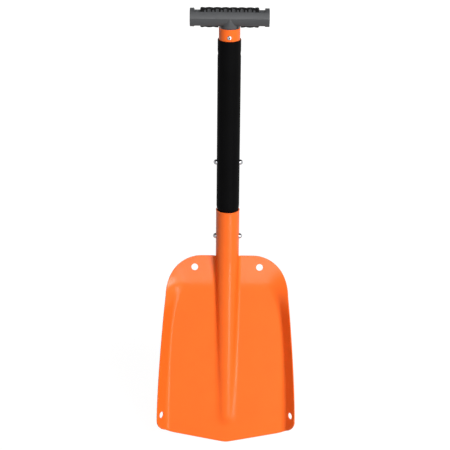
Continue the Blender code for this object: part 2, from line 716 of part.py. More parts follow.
def stand_on_origin(root):
    """Moves the root so that the middle of the shovel's lowest level is at the origin."""
    bpy.context.view_layer.update()
    graph = bpy.context.evaluated_depsgraph_get()
    corners = []
    for piece in root.children_recursive:
        if piece.type == "MESH" and not piece.hide_render:
            shown = piece.evaluated_get(graph)
            corners += [shown.matrix_world @ v.co for v in shown.data.vertices]
    low = [min(p[i] for p in corners) for i in range(3)]
    high = [max(p[i] for p in corners) for i in range(3)]
    root.location = (-(low[0] + high[0]) / 2, -(low[1] + high[1]) / 2, -low[2])


def main():
    clear_scene()
    orange = finish_material("orange_coat", (0.95, 0.19, 0.025), 0.38, 0.0)
    black = finish_material("black_coat", (0.012, 0.012, 0.013), 0.55, 0.0)
    plastic = finish_material("grey_plastic", (0.11, 0.115, 0.12), 0.5, 0.0)
    rubber = finish_material("grip_rubber", (0.02, 0.02, 0.022), 0.7, 0.0)
    steel = finish_material("spring_steel", (0.5, 0.5, 0.52), 0.35, 1.0)
    chrome = finish_material("button_chrome", (0.8, 0.8, 0.82), 0.12, 1.0)
    aluminium = finish_material("rivet_aluminium", (0.78, 0.78, 0.8), 0.3, 1.0)

    root = add_empty("shovel")
    blade_frame = add_empty("blade_frame", root)
    shaft_pull = add_empty("shaft_pull", blade_frame)
    handle_slide = add_empty("handle_slide", shaft_pull)

    make_blade(blade_frame, orange)
    make_middle_tube(shaft_pull, black)
    make_locks("lower", NECK_IN, -LOWER_BUTTON_DROP, shaft_pull, steel, chrome)
    make_handle_tube(handle_slide, orange)
    make_locks("upper", HANDLE_IN, UPPER_BUTTON_HEIGHT, handle_slide, steel, chrome)
    make_tee_core(handle_slide, plastic)
    make_tee_grip(handle_slide, rubber)
    make_rivets(handle_slide, aluminium, steel)
    stand_on_origin(root)


main()
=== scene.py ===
"""Looks for the take-down camp shovel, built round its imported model.

Every piece is shaped with the centre of the socket's rim at zero and then moved to its place in the
frame. Metres, +Z up along the shaft. The hollow front of the blade faces -Y, the T-handle lies along X.
"""

from math import asin, atan, cos, exp, hypot, pi, radians, sin, sqrt, tan

import bmesh
import bpy
from mathutils import Matrix, Quaternion, Vector


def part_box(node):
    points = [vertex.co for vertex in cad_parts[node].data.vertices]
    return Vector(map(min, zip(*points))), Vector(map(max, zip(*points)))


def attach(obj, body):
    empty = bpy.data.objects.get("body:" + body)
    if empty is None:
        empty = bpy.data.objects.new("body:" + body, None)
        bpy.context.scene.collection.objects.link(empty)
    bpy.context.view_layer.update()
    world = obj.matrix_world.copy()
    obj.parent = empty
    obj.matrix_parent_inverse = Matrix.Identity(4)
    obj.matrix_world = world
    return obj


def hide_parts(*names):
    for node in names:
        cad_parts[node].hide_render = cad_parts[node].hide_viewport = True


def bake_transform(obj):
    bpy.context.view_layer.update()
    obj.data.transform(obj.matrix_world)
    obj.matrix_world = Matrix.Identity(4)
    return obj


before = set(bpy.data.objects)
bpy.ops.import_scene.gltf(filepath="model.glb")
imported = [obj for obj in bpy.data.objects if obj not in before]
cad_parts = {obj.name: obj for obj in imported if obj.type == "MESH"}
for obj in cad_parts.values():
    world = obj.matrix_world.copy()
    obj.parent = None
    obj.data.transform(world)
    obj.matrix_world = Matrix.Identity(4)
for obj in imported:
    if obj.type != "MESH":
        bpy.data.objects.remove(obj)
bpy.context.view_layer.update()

MM = 0.001

# Place of the socket's rim in the frame
TUBE_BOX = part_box("middle_tube")
RIM = Vector((0, (TUBE_BOX[0].y + TUBE_BOX[1].y) / 2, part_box("blade")[1].z))

# Blade outline: depths run down from the blade's top edge, half widths out from the middle
SHEET = 1.6 * MM
EDGE = 0.5 * MM
BLADE_LENGTH = 277.8 * MM
BLADE_HALF = 102.9 * MM
WIDEST_RISE = 44.8 * MM
SIDE_FLARE = 12.4 * MM
SIDE_CURVE = 1.45
TOP_EDGE_RUN = 17.5 * MM
BOTTOM_SLOPE = 0.182
TIP_SOFTNESS = 4 * MM
CORNER_RADIUS = 29 * MM

# Blade surface: lean of the wings, raised ridge, turned-up sides
WING_SETBACK = 10 * MM
TOP_LEAN = radians(20)
PANEL_LEAN = radians(10.5)
CREASE_DEPTH = 40 * MM
CREASE_SOFTNESS = 6 * MM
SCOOP = 8 * MM
RIDGE_REACH = 300 * MM
RIDGE_END_RISE = 22.8 * MM
RIDGE_END_RUN = 16 * MM
RIDGE_FOOT_RUN = 4.8 * MM
RIDGE_HALF_END = 17 * MM
RIDGE_CURVE = 1.3
RIDGE_FOOT_END = 0.8
RIDGE_FOOT_CURVE = 1.5
RIDGE_LEAST = 0.02 * MM
SIDE_RUN = 19.9 * MM
SIDE_RUN_TOP = 34.5 * MM
FLOOR_SPREAD = 35 * MM
FLANGE_RUN = 10.5 * MM
FLANGE_ANGLE = radians(56)
FLANGE_LEAST = radians(0.2)
FLANGE_START = 12 * MM
FLANGE_FULL = 85 * MM
LEAST_BEND_RUN = 4 * MM

# Blade holes
LASH_HOLE = 10 * MM
UPPER_HOLE_X = 48 * MM
UPPER_HOLE_DEPTH = 16 * MM
LOWER_HOLE_INSET = 6.2 * MM
LOWER_HOLE_RISE = 45.4 * MM
SHEET_CUT = 8 * SHEET

# Socket, tubes and locks, measured from the socket's rim
SOCKET_MID = 16.2 * MM
SOCKET_LENGTH = 78.5 * MM
SEAM_GAP = 0.8 * MM
SEAM_OPENING = 18 * MM
LIP_RUN = 2.2 * MM
LIP_FLARE = 0.45 * MM
TUBE_WALL = 1.2 * MM
TUBE_LIP = 0.45 * MM
NECK_OUT = 15.1 * MM
NECK_LENGTH = 60 * MM
SWAGE_START = 8 * MM
SWAGE_END = 1.5 * MM
MIDDLE_OUT = 16.5 * MM
MIDDLE_TOP = 255 * MM
HANDLE_OUT = 15 * MM
HANDLE_FOOT = 52.9 * MM
HANDLE_TOP = 271.5 * MM
LOWER_LEVEL = -42 * MM
UPPER_LEVEL = 72.9 * MM
LONG_LEVEL = 234.7 * MM
LOCK_HOLE = 8.4 * MM
TUBE_CUT = 66 * MM

# Spring clips and snap buttons
BUTTON_RADIUS = 3.9 * MM
BUTTON_REACH = 7.4 * MM
BUTTON_TAIL = 1.8 * MM
BUTTON_HEAD = 3.2 * MM
BUTTON_HEAD_THICK = 1.2 * MM
BUTTON_ROUNDING = 0.3 * MM
LEAF_WIDTH = 8 * MM
LEAF_THICK = 0.6 * MM
LEAF_EDGE = 0.15 * MM
LEAF_PAD = 8 * MM
LEAF_RISE = 42 * MM
LEAF_BEND_RADIUS = 3 * MM
SEAT_GAP = 0.3 * MM

# T-handle: sizes along X are half lengths, angles rise from the front of the bar
BAR_Z = 285.9 * MM
BAR_HALF = 55.3 * MM
BAR_RADIUS = 13 * MM
BAR_ROUNDING = 1 * MM
BAR_BULGE = 0.5
CREASE_ROUNDING = 0.25 * MM
CREASE_REACH = radians(20)
UNDER_GRIP_RADIUS = 12.8 * MM
GROOVE_RADIUS = 10.5 * MM
GROOVE_OUT = 48.8 * MM
GRIP_HALF = 40.9 * MM
GROOVE_WALL = 0.7 * MM
FRONT_TOP = radians(47)
FRONT_CREASE = radians(3)
FRONT_UNDER = radians(-55)
FRONT_STEP = radians(2)
NECK_RADIUS = 12.7 * MM
NECK_HALF_TOP = 4.4 * MM
NECK_SPREAD = 0.56
NECK_DROP = 14.7 * MM
NECK_FILLET = 1.2 * MM
SPIGOT_RADIUS = 13.45 * MM
SPIGOT_BORE = 10.5 * MM
SPIGOT_FOOT = 230.5 * MM
SPIGOT_BORE_TOP = 265.5 * MM
SPIGOT_TOP = 271.2 * MM

# Soft grip: ribs along it, an arched opening at each rib's front end and a slot between each two
GRIP_BURIED = 11.7 * MM
GRIP_RADIUS = 13.2 * MM
GRIP_END = 40.6 * MM
GRIP_ROUNDING = 0.7 * MM
GRIP_LIP = 0.3 * MM
RIB_PITCH = 11.3 * MM
RIB_HEIGHT = 0.9 * MM
RIB_ROUNDNESS = 0.7
RIB_END_RUN = 1.5 * MM
RIB_FADE = radians(14)
ARCH_HALF = 2.2 * MM
ARCH_RISE = 6.8 * MM
SLOT_HALF = 1.2 * MM
SLOT_RISE = 4.4 * MM
DIMPLE_DEPTH = 0.8 * MM
DIMPLE_RUN = 2 * MM
NOTCH_HALF = 15.6 * MM
NOTCH_RISE = radians(125)
NOTCH_POWER = 2.6

# Blind rivets
RIVET_Z = 260.4 * MM
RIVET_HOLE = 4.6 * MM
RIVET_UNDER = 15.3 * MM
RIVET_SET = 9.82 * MM
RIVET_BORE = 1.15 * MM
RIVET_SHANK = 2 * MM
RIVET_HEAD = 3 * MM
RIVET_HEAD_THICK = 1.2 * MM
RIVET_TAIL = 2.8 * MM
RIVET_TAIL_LENGTH = 1.6 * MM
STEM_RADIUS = 0.85 * MM
STEM_RECESS = 0.7 * MM
STEM_HEAD = 1.7 * MM
STEM_HEAD_LENGTH = 1 * MM
STEM_ROUNDING = 0.15 * MM

# Roughness of the white gloss over the coats
GLOSS_ROUGHNESS = 0.29

# Fineness of the meshes
ROUND = 128
SMALL_ROUND = 48
CREST_STEPS = 32
FOOT_STEPS = 8
FLOOR_STEPS = 14
BEND_STEPS = 12
FLANGE_STEPS = 9
SHOULDER_ROWS = 34
PANEL_ROWS = 72
OPENING_ROWS = 12
SOCKET_ROWS = 6
LIP_ROWS = 5
EDGE_STEPS = 6
SWAGE_STEPS = 16
DOME_STEPS = 10
CORNER_STEPS = 4
CORNER_SHARE = 0.45
LEAF_STEPS = 10
BAR_X_STEP = 0.4 * MM
WALL_STEPS = 4
BAR_END_STEPS = 6
CREASE_STEP = radians(0.5)
CREASE_STEPS = 3
NECK_PASSES = 4
LEAST_COSINE = 1e-6
GRIP_X_STEP = 0.25 * MM
LOOP_ZONE = radians(36)
LOOP_STEPS = 32
GRIP_STEPS = 56
SHARP_ANGLE = radians(45)

# Camera and light
LENS = 120
CAMERA_PITCH = radians(22.5)
CAMERA_DISTANCE = 2.1945
CAMERA_ROLL = radians(0.55)
CAMERA_SIDE = -3.76 * MM
TARGET_DROP = 25.2 * MM
FILL_LEVEL = 0.09
CEILING = (0.4, 0.75)
# Softboxes: name, azimuth and elevation in degrees, distance, size, power
SOFT_LIGHTS = (("key_light", 30, 34, 4, (1.6, 1.6), 144), ("front_light", 3, 17, 4, (1, 1), 31),
               ("low_light", 28, -17.5, 1.1, (0.3, 0.03), 2.3), ("side_light", 95, 8, 3.5, (1.6, 1.6), 12))
BACK_LIGHT = ("back_light", 180, 12, 4, (2.4, 2.4), 150)
FLOOR_BOUNCE = (0.2, 0.2, 0.2, 1)
FLOOR_COLOUR = (0.9, 0.9, 0.9, 1)
FLOOR_GLOW = 0.9
FLOOR_BRIGHTNESS = 1.06
FLOOR_FADE = (0.8, 2.5)
FLOOR_HALF_WIDTH = 15

# Worked-out sizes
RIDGE_HALF_TOP = SOCKET_MID + RIDGE_FOOT_RUN
RIDGE_LENGTH = BLADE_LENGTH - RIDGE_END_RISE
WIDEST_DEPTH = BLADE_LENGTH - WIDEST_RISE
SHOULDER_HALF = BLADE_HALF - SIDE_FLARE
SHOULDER_RADIUS = SHOULDER_HALF - RIDGE_HALF_TOP - TOP_EDGE_RUN
FLOOR_HALF = BLADE_HALF - SIDE_RUN
FLOOR_HALF_TOP = SHOULDER_HALF - SIDE_RUN_TOP
CORNER_RUN = sqrt(1 + BOTTOM_SLOPE**2)
LOWER_HOLE_DEPTH = BLADE_LENGTH - LOWER_HOLE_RISE
LOWER_HOLE_X = BLADE_HALF - LOWER_HOLE_INSET
NECK_IN = NECK_OUT - TUBE_WALL
MIDDLE_IN = MIDDLE_OUT - TUBE_WALL
HANDLE_IN = HANDLE_OUT - TUBE_WALL


# Mesh helpers


def mesh_from(name, points, faces):
    mesh = bpy.data.meshes.new(name)
    shape = bmesh.new()
    corners = [shape.verts.new(p) for p in points]
    for face in faces:
        shape.faces.new([corners[i] for i in face])
    bmesh.ops.recalc_face_normals(shape, faces=shape.faces)
    shape.to_mesh(mesh)
    shape.free()
    return mesh


def baked(piece):
    """A piece's mesh with its modifiers applied."""
    bpy.context.view_layer.update()
    graph = bpy.context.evaluated_depsgraph_get()
    return bpy.data.meshes.new_from_object(piece.evaluated_get(graph))


def boolean(mesh, tool, operation="DIFFERENCE"):
    """The mesh after an exact boolean with a tool mesh."""
    base = bpy.data.objects.new(mesh.name, mesh)
    other = bpy.data.objects.new(tool.name, tool)
    for thing in (base, other):
        bpy.context.scene.collection.objects.link(thing)
    modifier = base.modifiers.new("boolean", "BOOLEAN")
    modifier.operation = operation
    modifier.solver = "EXACT"
    modifier.object = other
    result = baked(base)
    for thing in (base, other):
        bpy.data.objects.remove(thing)
    return result


def smooth_share(value, start, end):
    t = min(1.0, max(0.0, (value - start) / (end - start)))
    return t * t * (3 - 2 * t)


def smooth_max(a, b, softness):
    """The larger of two values, with a rounded change from one to the other."""
    near = max(0.0, softness - abs(a - b)) / softness
    return max(a, b) + near * near * softness / 4


def rounded(profile, radius, closed):
    """A profile with its corners rounded. The ends of an open one stay as they are."""
    result = []
    count = len(profile)
    for i, corner in enumerate(profile):
        here = Vector(corner)
        if not closed and i in (0, count - 1):
            result.append(tuple(here))
            continue
        before = Vector(profile[i - 1]) - here
        after = Vector(profile[(i + 1) % count]) - here
        start = here + before.normalized() * min(radius, before.length * CORNER_SHARE)
        end = here + after.normalized() * min(radius, after.length * CORNER_SHARE)
        for k in range(CORNER_STEPS + 1):
            t = k / CORNER_STEPS
            result.append(tuple(start * (1 - t) ** 2 + here * 2 * t * (1 - t) + end * t * t))
    return result


def lathe(name, profile, axis, closed, segments):
    """A turned solid. The profile is (radius, height) pairs; an open one starts and ends on the axis."""
    turn = Vector((0, 0, 1)).rotation_difference(Vector(axis)).to_matrix()
    points, rings = [], []
    for radius, height in profile:
        count = segments if radius > 0 else 1
        rings.append([len(points) + k for k in range(count)])
        for k in range(count):
            angle = 2 * pi * (k + 0.5) / segments
            points.append(turn @ Vector((radius * cos(angle), radius * sin(angle), height)))
    pairs = list(zip(rings, rings[1:]))
    if closed:
        pairs.append((rings[-1], rings[0]))
    faces = []
    for lower, upper in pairs:
        for k in range(segments):
            corners = [lower[k % len(lower)], lower[(k + 1) % len(lower)]]
            corners += [upper[(k + 1) % len(upper)], upper[k % len(upper)]]
            faces.append(list(dict.fromkeys(corners)))
    return mesh_from(name, points, faces)


def loft(name, rings):
    """A solid through rings of points that all have the same count, with flat ends."""
    count = len(rings[0])
    points = [p for ring in rings for p in ring]
    faces = [list(range(count)), list(range(len(points) - count, len(points)))]
    for row in range(len(rings) - 1):
        for k in range(count):
            a = row * count + k
            b = row * count + (k + 1) % count
            faces.append([a, b, b + count, a + count])
    return mesh_from(name, points, faces)


def drill(diameter, length, place, axis):
    """A mesh that cuts a round hole, centred on a place and running along an axis."""
    radius = diameter / 2
    profile = [(0, -length / 2), (radius, -length / 2), (radius, length / 2), (0, length / 2)]
    mesh = lathe("drill", profile, axis, False, SMALL_ROUND)
    mesh.transform(Matrix.Translation(place))
    return mesh


def joined(meshes):
    """Several meshes as one."""
    shape = bmesh.new()
    for mesh in meshes:
        shape.from_mesh(mesh)
    whole = bpy.data.meshes.new("joined")
    shape.to_mesh(whole)
    shape.free()
    return whole


def outward_directions(shape):
    """For each corner on a surface's border, the direction in the surface that leads out of it."""
    out = {}
    for face in shape.faces:
        for loop in face.loops:
            if loop.edge.is_boundary:
                ends = (loop.vert, loop.link_loop_next.vert)
                direction = (ends[1].co - ends[0].co).cross(face.normal).normalized()
                for corner in ends:
                    out[corner.index] = out.get(corner.index, Vector()) + direction
    for index, direction in out.items():
        normal = shape.verts[index].normal
        out[index] = (direction - normal * direction.dot(normal)).normalized()
    return out


def thick_sheet(name, points, faces, thickness, edge):
    """A sheet round its middle surface, with rounded edges that stand out past the surface's border."""
    shape = bmesh.new()
    corners = [shape.verts.new(p) for p in points]
    for face in faces:
        shape.faces.new([corners[i] for i in face])
    bmesh.ops.recalc_face_normals(shape, faces=shape.faces)
    shape.verts.index_update()
    shape.verts.ensure_lookup_table()
    shape.normal_update()
    count = len(points)
    half = thickness / 2
    solid = [v.co + v.normal * half for v in shape.verts]
    solid += [v.co - v.normal * half for v in shape.verts]
    rims = {}
    for index, direction in outward_directions(shape).items():
        corner = shape.verts[index]
        rims[index] = [index]
        for k in range(1, EDGE_STEPS):
            turn = pi * k / EDGE_STEPS
            rims[index].append(len(solid))
            solid.append(corner.co + corner.normal * half * cos(turn) + direction * edge * sin(turn))
        rims[index].append(index + count)
    sides = []
    for face in shape.faces:
        loop = [v.index for v in face.verts]
        sides.append(loop)
        sides.append([i + count for i in loop[::-1]])
        for corner in face.loops:
            if corner.edge.is_boundary:
                a = rims[corner.vert.index]
                b = rims[corner.link_loop_next.vert.index]
                sides += [[b[k], a[k], a[k + 1], b[k + 1]] for k in range(EDGE_STEPS)]
    shape.free()
    return mesh_from(name, solid, sides)


def add_piece(name, mesh, material, body, slot, *nodes):
    """One visible piece that rides on a CAD body and stands for CAD nodes. With no body, it is left
    unattached.
    """
    mesh.transform(Matrix.Translation(RIM))
    mesh.materials.clear()
    mesh.materials.append(material)
    mesh.shade_smooth()
    mesh.set_sharp_from_angle(angle=SHARP_ANGLE)
    piece = bpy.data.objects.new(name, mesh)
    bpy.context.scene.collection.objects.link(piece)
    if body:
        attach(piece, body)
    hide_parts(*nodes)
    return piece


# Materials


class Shading:
    """A procedural finish: colour that varies, uneven roughness and a fine grain."""

    def __init__(self, name, specular, metallic=0.0):
        self.material = bpy.data.materials.new(name)
        self.material.use_nodes = True
        self.tree = self.material.node_tree
        self.shader = self.tree.nodes["Principled BSDF"]
        self.shader.inputs["Specular IOR Level"].default_value = specular
        self.shader.inputs["Metallic"].default_value = metallic
        self.place = self.add("ShaderNodeTexCoord").outputs["Object"]

    def add(self, kind):
        return self.tree.nodes.new(kind)

    def link(self, output, target):
        self.tree.links.new(output, target)

    def noise(self, size, detail=4.0, stretch=(1, 1, 1)):
        """Noise with spots of about the given size, drawn out along axes with a stretch above one."""
        mapping = self.add("ShaderNodeMapping")
        mapping.inputs["Scale"].default_value = [1 / s for s in stretch]
        self.link(self.place, mapping.inputs["Vector"])
        node = self.add("ShaderNodeTexNoise")
        node.inputs["Scale"].default_value = 1 / size
        node.inputs["Detail"].default_value = detail
        self.link(mapping.outputs["Vector"], node.inputs["Vector"])
        return node.outputs["Fac"]

    def spread(self, value, source_range, target_range):
        node = self.add("ShaderNodeMapRange")
        node.inputs["From Min"].default_value, node.inputs["From Max"].default_value = source_range
        node.inputs["To Min"].default_value, node.inputs["To Max"].default_value = target_range
        self.link(value, node.inputs["Value"])
        return node.outputs["Result"]

    def mixed(self, share, first, second):
        """A colour between two; each is a colour or another node's output."""
        node = self.add("ShaderNodeMix")
        node.data_type = "RGBA"
        self.link(share, node.inputs["Factor"])
        for socket, colour in ((node.inputs[6], first), (node.inputs[7], second)):
            if isinstance(colour, tuple):
                socket.default_value = (*colour, 1)
            else:
                self.link(colour, socket)
        return node.outputs[2]

    def edges(self, start, end):
        """How much a spot lies on an outer edge, from 0 to 1."""
        return self.spread(self.add("ShaderNodeNewGeometry").outputs["Pointiness"], (start, end), (0, 1))

    def colour(self, output):
        self.link(output, self.shader.inputs["Base Color"])

    def roughness(self, value, low, high):
        self.link(self.spread(value, (0.3, 0.7), (low, high)), self.shader.inputs["Roughness"])

    def bumps(self, *layers):
        """Stacked bumps, each (height, depth in metres)."""
        normal = None
        for height, depth in layers:
            node = self.add("ShaderNodeBump")
            node.inputs["Distance"].default_value = depth
            self.link(height, node.inputs["Height"])
            if normal:
                self.link(normal, node.inputs["Normal"])
            normal = node.outputs["Normal"]
        self.link(normal, self.shader.inputs["Normal"])


def tinted(colour, factor):
    return tuple(c * factor for c in colour)


def coat(name, colour, shade, edge_colour, specular, tint, rough, gloss):
    """Powder coat: soft mottling, fine specks, an orange-peel skin, and an edge colour: thinner coat on the
    black one, painted shade on the orange one.

    Its pigment gives a broad tinted sheen, and the skin over it a finer white gloss.
    """
    look = Shading(name, specular)
    look.shader.inputs["Specular Tint"].default_value = (*tint, 1)
    look.shader.inputs["Coat Weight"].default_value = gloss
    look.shader.inputs["Coat Roughness"].default_value = GLOSS_ROUGHNESS
    mottle = look.spread(look.noise(35 * MM), (0.3, 0.7), (0, 1))
    base = look.mixed(mottle, tinted(colour, 1 - shade), tinted(colour, 1 + shade))
    speck = look.spread(look.noise(0.9 * MM, 2), (0.55, 0.75), (0, 0.35))
    base = look.mixed(speck, base, tinted(colour, 1 - 3 * shade))
    # Along the outer edges the colour turns to the edge colour: on the orange coat this darker line is
    # painted shade.
    look.colour(look.mixed(look.edges(0.56, 0.7), base, edge_colour))
    look.roughness(look.noise(12 * MM), *rough)
    look.bumps((look.noise(1.6 * MM, 2), 0.02 * MM), (look.noise(0.5 * MM, 2), 0.012 * MM))
    return look.material


def moulded(name, colour, shade, edge_colour, specular, rough, grain, depth):
    """Moulded plastic or rubber: a fine spark-eroded grain, faint flow marks and polished edges."""
    look = Shading(name, specular)
    flow = look.spread(look.noise(18 * MM, 3, (3, 1, 1)), (0.3, 0.7), (0, 1))
    base = look.mixed(flow, tinted(colour, 1 - shade), tinted(colour, 1 + shade))
    grit = look.noise(grain, 2)
    base = look.mixed(look.spread(grit, (0.5, 0.8), (0, 0.4)), base, tinted(colour, 1 - 3 * shade))
    look.colour(look.mixed(look.edges(0.54, 0.68), base, edge_colour))
    look.roughness(look.noise(6 * MM), *rough)
    look.bumps((grit, depth))
    return look.material


def bare_metal(name, colour, dull, rough, stretch):
    """Bare or plated metal with fine drawn scratches and dull patches."""
    look = Shading(name, 0.5, 1.0)
    patch = look.spread(look.noise(5 * MM), (0.35, 0.65), (0, 1))
    look.colour(look.mixed(patch, colour, dull))
    scratch = look.noise(0.35 * MM, 3, stretch)
    look.roughness(scratch, *rough)
    look.bumps((scratch, 0.006 * MM))
    return look.material


# Blade


def soft_ramp(depth):
    """Depth below the crease, rounded off at the crease itself."""
    past = depth - CREASE_DEPTH
    if past <= -CREASE_SOFTNESS:
        return 0.0
    if past >= CREASE_SOFTNESS:
        return past
    return (past + CREASE_SOFTNESS) ** 2 / (4 * CREASE_SOFTNESS)


def wing_y(depth):
    """The middle of the wings' sheet: steep above the crease, flatter below it, hollow to the tip."""
    below = soft_ramp(depth)
    forward = tan(TOP_LEAN) * depth + (tan(PANEL_LEAN) - tan(TOP_LEAN)) * below
    return WING_SETBACK - forward - SCOOP * (below / (BLADE_LENGTH - CREASE_DEPTH)) ** 2


def half_width(depth):
    """The blade's side: a round shoulder, then a long slow curve to the widest level."""
    if depth < SHOULDER_RADIUS:
        rise = SHOULDER_RADIUS - depth
        return SHOULDER_HALF - SHOULDER_RADIUS + sqrt(SHOULDER_RADIUS**2 - rise**2)
    t = min(1.0, (depth - SHOULDER_RADIUS) / (WIDEST_DEPTH - SHOULDER_RADIUS))
    return SHOULDER_HALF + SIDE_FLARE * (1 - (1 - t) ** SIDE_CURVE)


def bottom_depth(x):
    """The digging edge: two straight slopes that meet at a soft tip and turn up into round corners."""
    line = BLADE_LENGTH - BOTTOM_SLOPE * (sqrt(x * x + TIP_SOFTNESS**2) - TIP_SOFTNESS)
    centre_x = BLADE_HALF - CORNER_RADIUS
    if x < centre_x + CORNER_RADIUS * BOTTOM_SLOPE / CORNER_RUN:
        return line
    centre_line = BLADE_LENGTH - BOTTOM_SLOPE * (centre_x - TIP_SOFTNESS)
    centre_depth = centre_line - CORNER_RADIUS * CORNER_RUN
    return centre_depth + sqrt(max(0.0, CORNER_RADIUS**2 - (x - centre_x) ** 2))


def top_angle():
    """How far round the socket's wall runs before it turns out into a wing, at the top edge."""
    return 2 * atan((WING_SETBACK + SOCKET_MID) / RIDGE_HALF_TOP)


def ridge_section(depth):
    """Height, half width, angle, and the crest's and foot's radii of the ridge below the socket.

    The crest heads for a point below the blade, and the ridge ends before that with a short blunt slope.
    """
    share = depth / RIDGE_REACH
    reach = -wing_y(RIDGE_REACH) - SOCKET_MID
    crest_y = -SOCKET_MID - reach * share**RIDGE_CURVE
    fade = 1 - smooth_share(depth, RIDGE_LENGTH - RIDGE_END_RUN, RIDGE_LENGTH)
    height = max(RIDGE_LEAST, (wing_y(depth) - crest_y) * fade)
    half = RIDGE_HALF_TOP + (RIDGE_HALF_END - RIDGE_HALF_TOP) * share
    angle = 2 * atan(height / half)
    span = half / sin(angle)
    foot_top = 1 - SOCKET_MID * sin(top_angle()) / RIDGE_HALF_TOP
    foot = span * (foot_top + (RIDGE_FOOT_END - foot_top) * share**RIDGE_FOOT_CURVE)
    return height, half, angle, span - foot, foot


def side_section(depth):
    """Where the floor ends, where the flange starts, the rim without its round edge, the flange's angle."""
    rim = half_width(depth)
    fade = exp(-max(0.0, depth - CREASE_DEPTH) / FLOOR_SPREAD)
    floor = FLOOR_HALF - (FLOOR_HALF - FLOOR_HALF_TOP) * fade
    flange = rim - FLANGE_RUN
    angle = FLANGE_ANGLE * smooth_share(depth, FLANGE_START, FLANGE_FULL)
    angle = max(FLANGE_LEAST, angle)
    return min(floor, flange - LEAST_BEND_RUN), flange, rim - EDGE * cos(angle), angle


def blade_point(zone, t, depth):
    """A point of the sheet's middle surface, on the +X half."""
    height, half, ridge_angle, crest, foot = ridge_section(depth)
    floor, flange, rim, side_angle = side_section(depth)
    bend = (flange - floor) / sin(side_angle)
    if zone == "crest":
        x = crest * sin(t * ridge_angle)
        rise = height - crest * (1 - cos(t * ridge_angle))
    elif zone == "foot":
        x = half - foot * sin((1 - t) * ridge_angle)
        rise = foot * (1 - cos((1 - t) * ridge_angle))
    elif zone == "floor":
        x = half + t * (floor - half)
        rise = 0.0
    elif zone == "bend":
        x = floor + bend * sin(t * side_angle)
        rise = bend * (1 - cos(t * side_angle))
    else:
        x = flange + t * (rim - flange)
        rise = bend * (1 - cos(side_angle)) + (x - flange) * tan(side_angle)
    return Vector((x, wing_y(depth) - rise, -SOCKET_LENGTH - depth))


def blade_columns():
    columns = [("crest", k / CREST_STEPS) for k in range(CREST_STEPS + 1)]
    columns += [("foot", k / FOOT_STEPS) for k in range(1, FOOT_STEPS + 1)]
    columns += [("floor", k / FLOOR_STEPS) for k in range(1, FLOOR_STEPS + 1)]
    columns += [("bend", k / BEND_STEPS) for k in range(1, BEND_STEPS + 1)]
    return columns + [("flange", 1 - (1 - k / FLANGE_STEPS) ** 2) for k in range(1, FLANGE_STEPS + 1)]


def blade_rows(rim_length):
    """Shares of each column: evenly round the shoulder's arc, then evenly down to the bottom edge."""
    turns = [pi / 2 * k / SHOULDER_ROWS for k in range(SHOULDER_ROWS + 1)]
    shares = [SHOULDER_RADIUS * (1 - cos(turn)) / rim_length for turn in turns]
    start = shares[-1]
    return shares + [start + (1 - start) * k / PANEL_ROWS for k in range(1, PANEL_ROWS + 1)]


def socket_rows():
    """(height above the top edge, radius, angle that each half of the wall covers), up to the rim."""
    closed_angle = pi - asin((SEAM_GAP / 2 + EDGE) / SOCKET_MID)
    rows = []
    for k in range(1, OPENING_ROWS + 1):
        rise = k / OPENING_ROWS
        angle = top_angle() + (closed_angle - top_angle()) * sin(rise * pi / 2)
        rows.append((rise * SEAM_OPENING, SOCKET_MID, angle))
    straight = SOCKET_LENGTH - SEAM_OPENING - EDGE - LIP_RUN
    for k in range(1, SOCKET_ROWS + 1):
        rows.append((SEAM_OPENING + straight * k / SOCKET_ROWS, SOCKET_MID, closed_angle))
    for k in range(1, LIP_ROWS + 1):
        rise = k / LIP_ROWS
        height = SEAM_OPENING + straight + LIP_RUN * rise
        rows.append((height, SOCKET_MID + LIP_FLARE * rise**2, closed_angle))
    return rows


def mirrored_row(half_row):
    """A row of points from the -X end to the +X end, from its +X half."""
    left = [Vector((-p.x, p.y, p.z)) for p in half_row[:0:-1]]
    return left + half_row


def blade_mesh():
    """The one sheet that makes the blade and its rolled socket."""
    columns = blade_columns()
    lengths = [bottom_depth(blade_point(zone, t, BLADE_LENGTH).x) - EDGE for zone, t in columns]
    shares = blade_rows(lengths[-1])
    points, faces = [], []
    width = 2 * len(columns) - 1
    for share in shares:
        row = [blade_point(zone, t, share * length) for (zone, t), length in zip(columns, lengths)]
        points += mirrored_row(row)
    for r in range(len(shares) - 1):
        for c in range(width - 1):
            a = r * width + c
            faces.append([a, a + width, a + width + 1, a + 1])
    below = [len(columns) - 1 - CREST_STEPS + c for c in range(2 * CREST_STEPS + 1)]
    for rise, radius, angle in socket_rows():
        row = []
        for k in range(CREST_STEPS + 1):
            turn = angle * k / CREST_STEPS
            row.append(Vector((radius * sin(turn), -radius * cos(turn), rise - SOCKET_LENGTH)))
        above = [len(points) + c for c in range(len(below))]
        points += mirrored_row(row)
        for c in range(len(below) - 1):
            faces.append([below[c], below[c + 1], above[c + 1], above[c]])
        below = above
    return thick_sheet("blade", points, faces, SHEET, EDGE)


def blade_drills():
    """The cutters for the four lashing holes and the socket's pair of lock holes."""
    upper_axis = (0, -cos(TOP_LEAN), sin(TOP_LEAN))
    upper_z = -SOCKET_LENGTH - UPPER_HOLE_DEPTH
    _, flange, rim, angle = side_section(LOWER_HOLE_DEPTH)
    lower = blade_point("flange", (LOWER_HOLE_X - flange) / (rim - flange), LOWER_HOLE_DEPTH)
    drills = [drill(LOCK_HOLE, TUBE_CUT, (0, 0, LOWER_LEVEL), (1, 0, 0))]
    for side in (-1, 1):
        upper_place = (side * UPPER_HOLE_X, wing_y(UPPER_HOLE_DEPTH), upper_z)
        drills.append(drill(LASH_HOLE, SHEET_CUT, upper_place, upper_axis))
        lower_axis = (-side * sin(angle), -cos(angle), 0)
        drills.append(drill(LASH_HOLE, SHEET_CUT, (side * lower.x, lower.y, lower.z), lower_axis))
    return joined(drills)


# Tubes


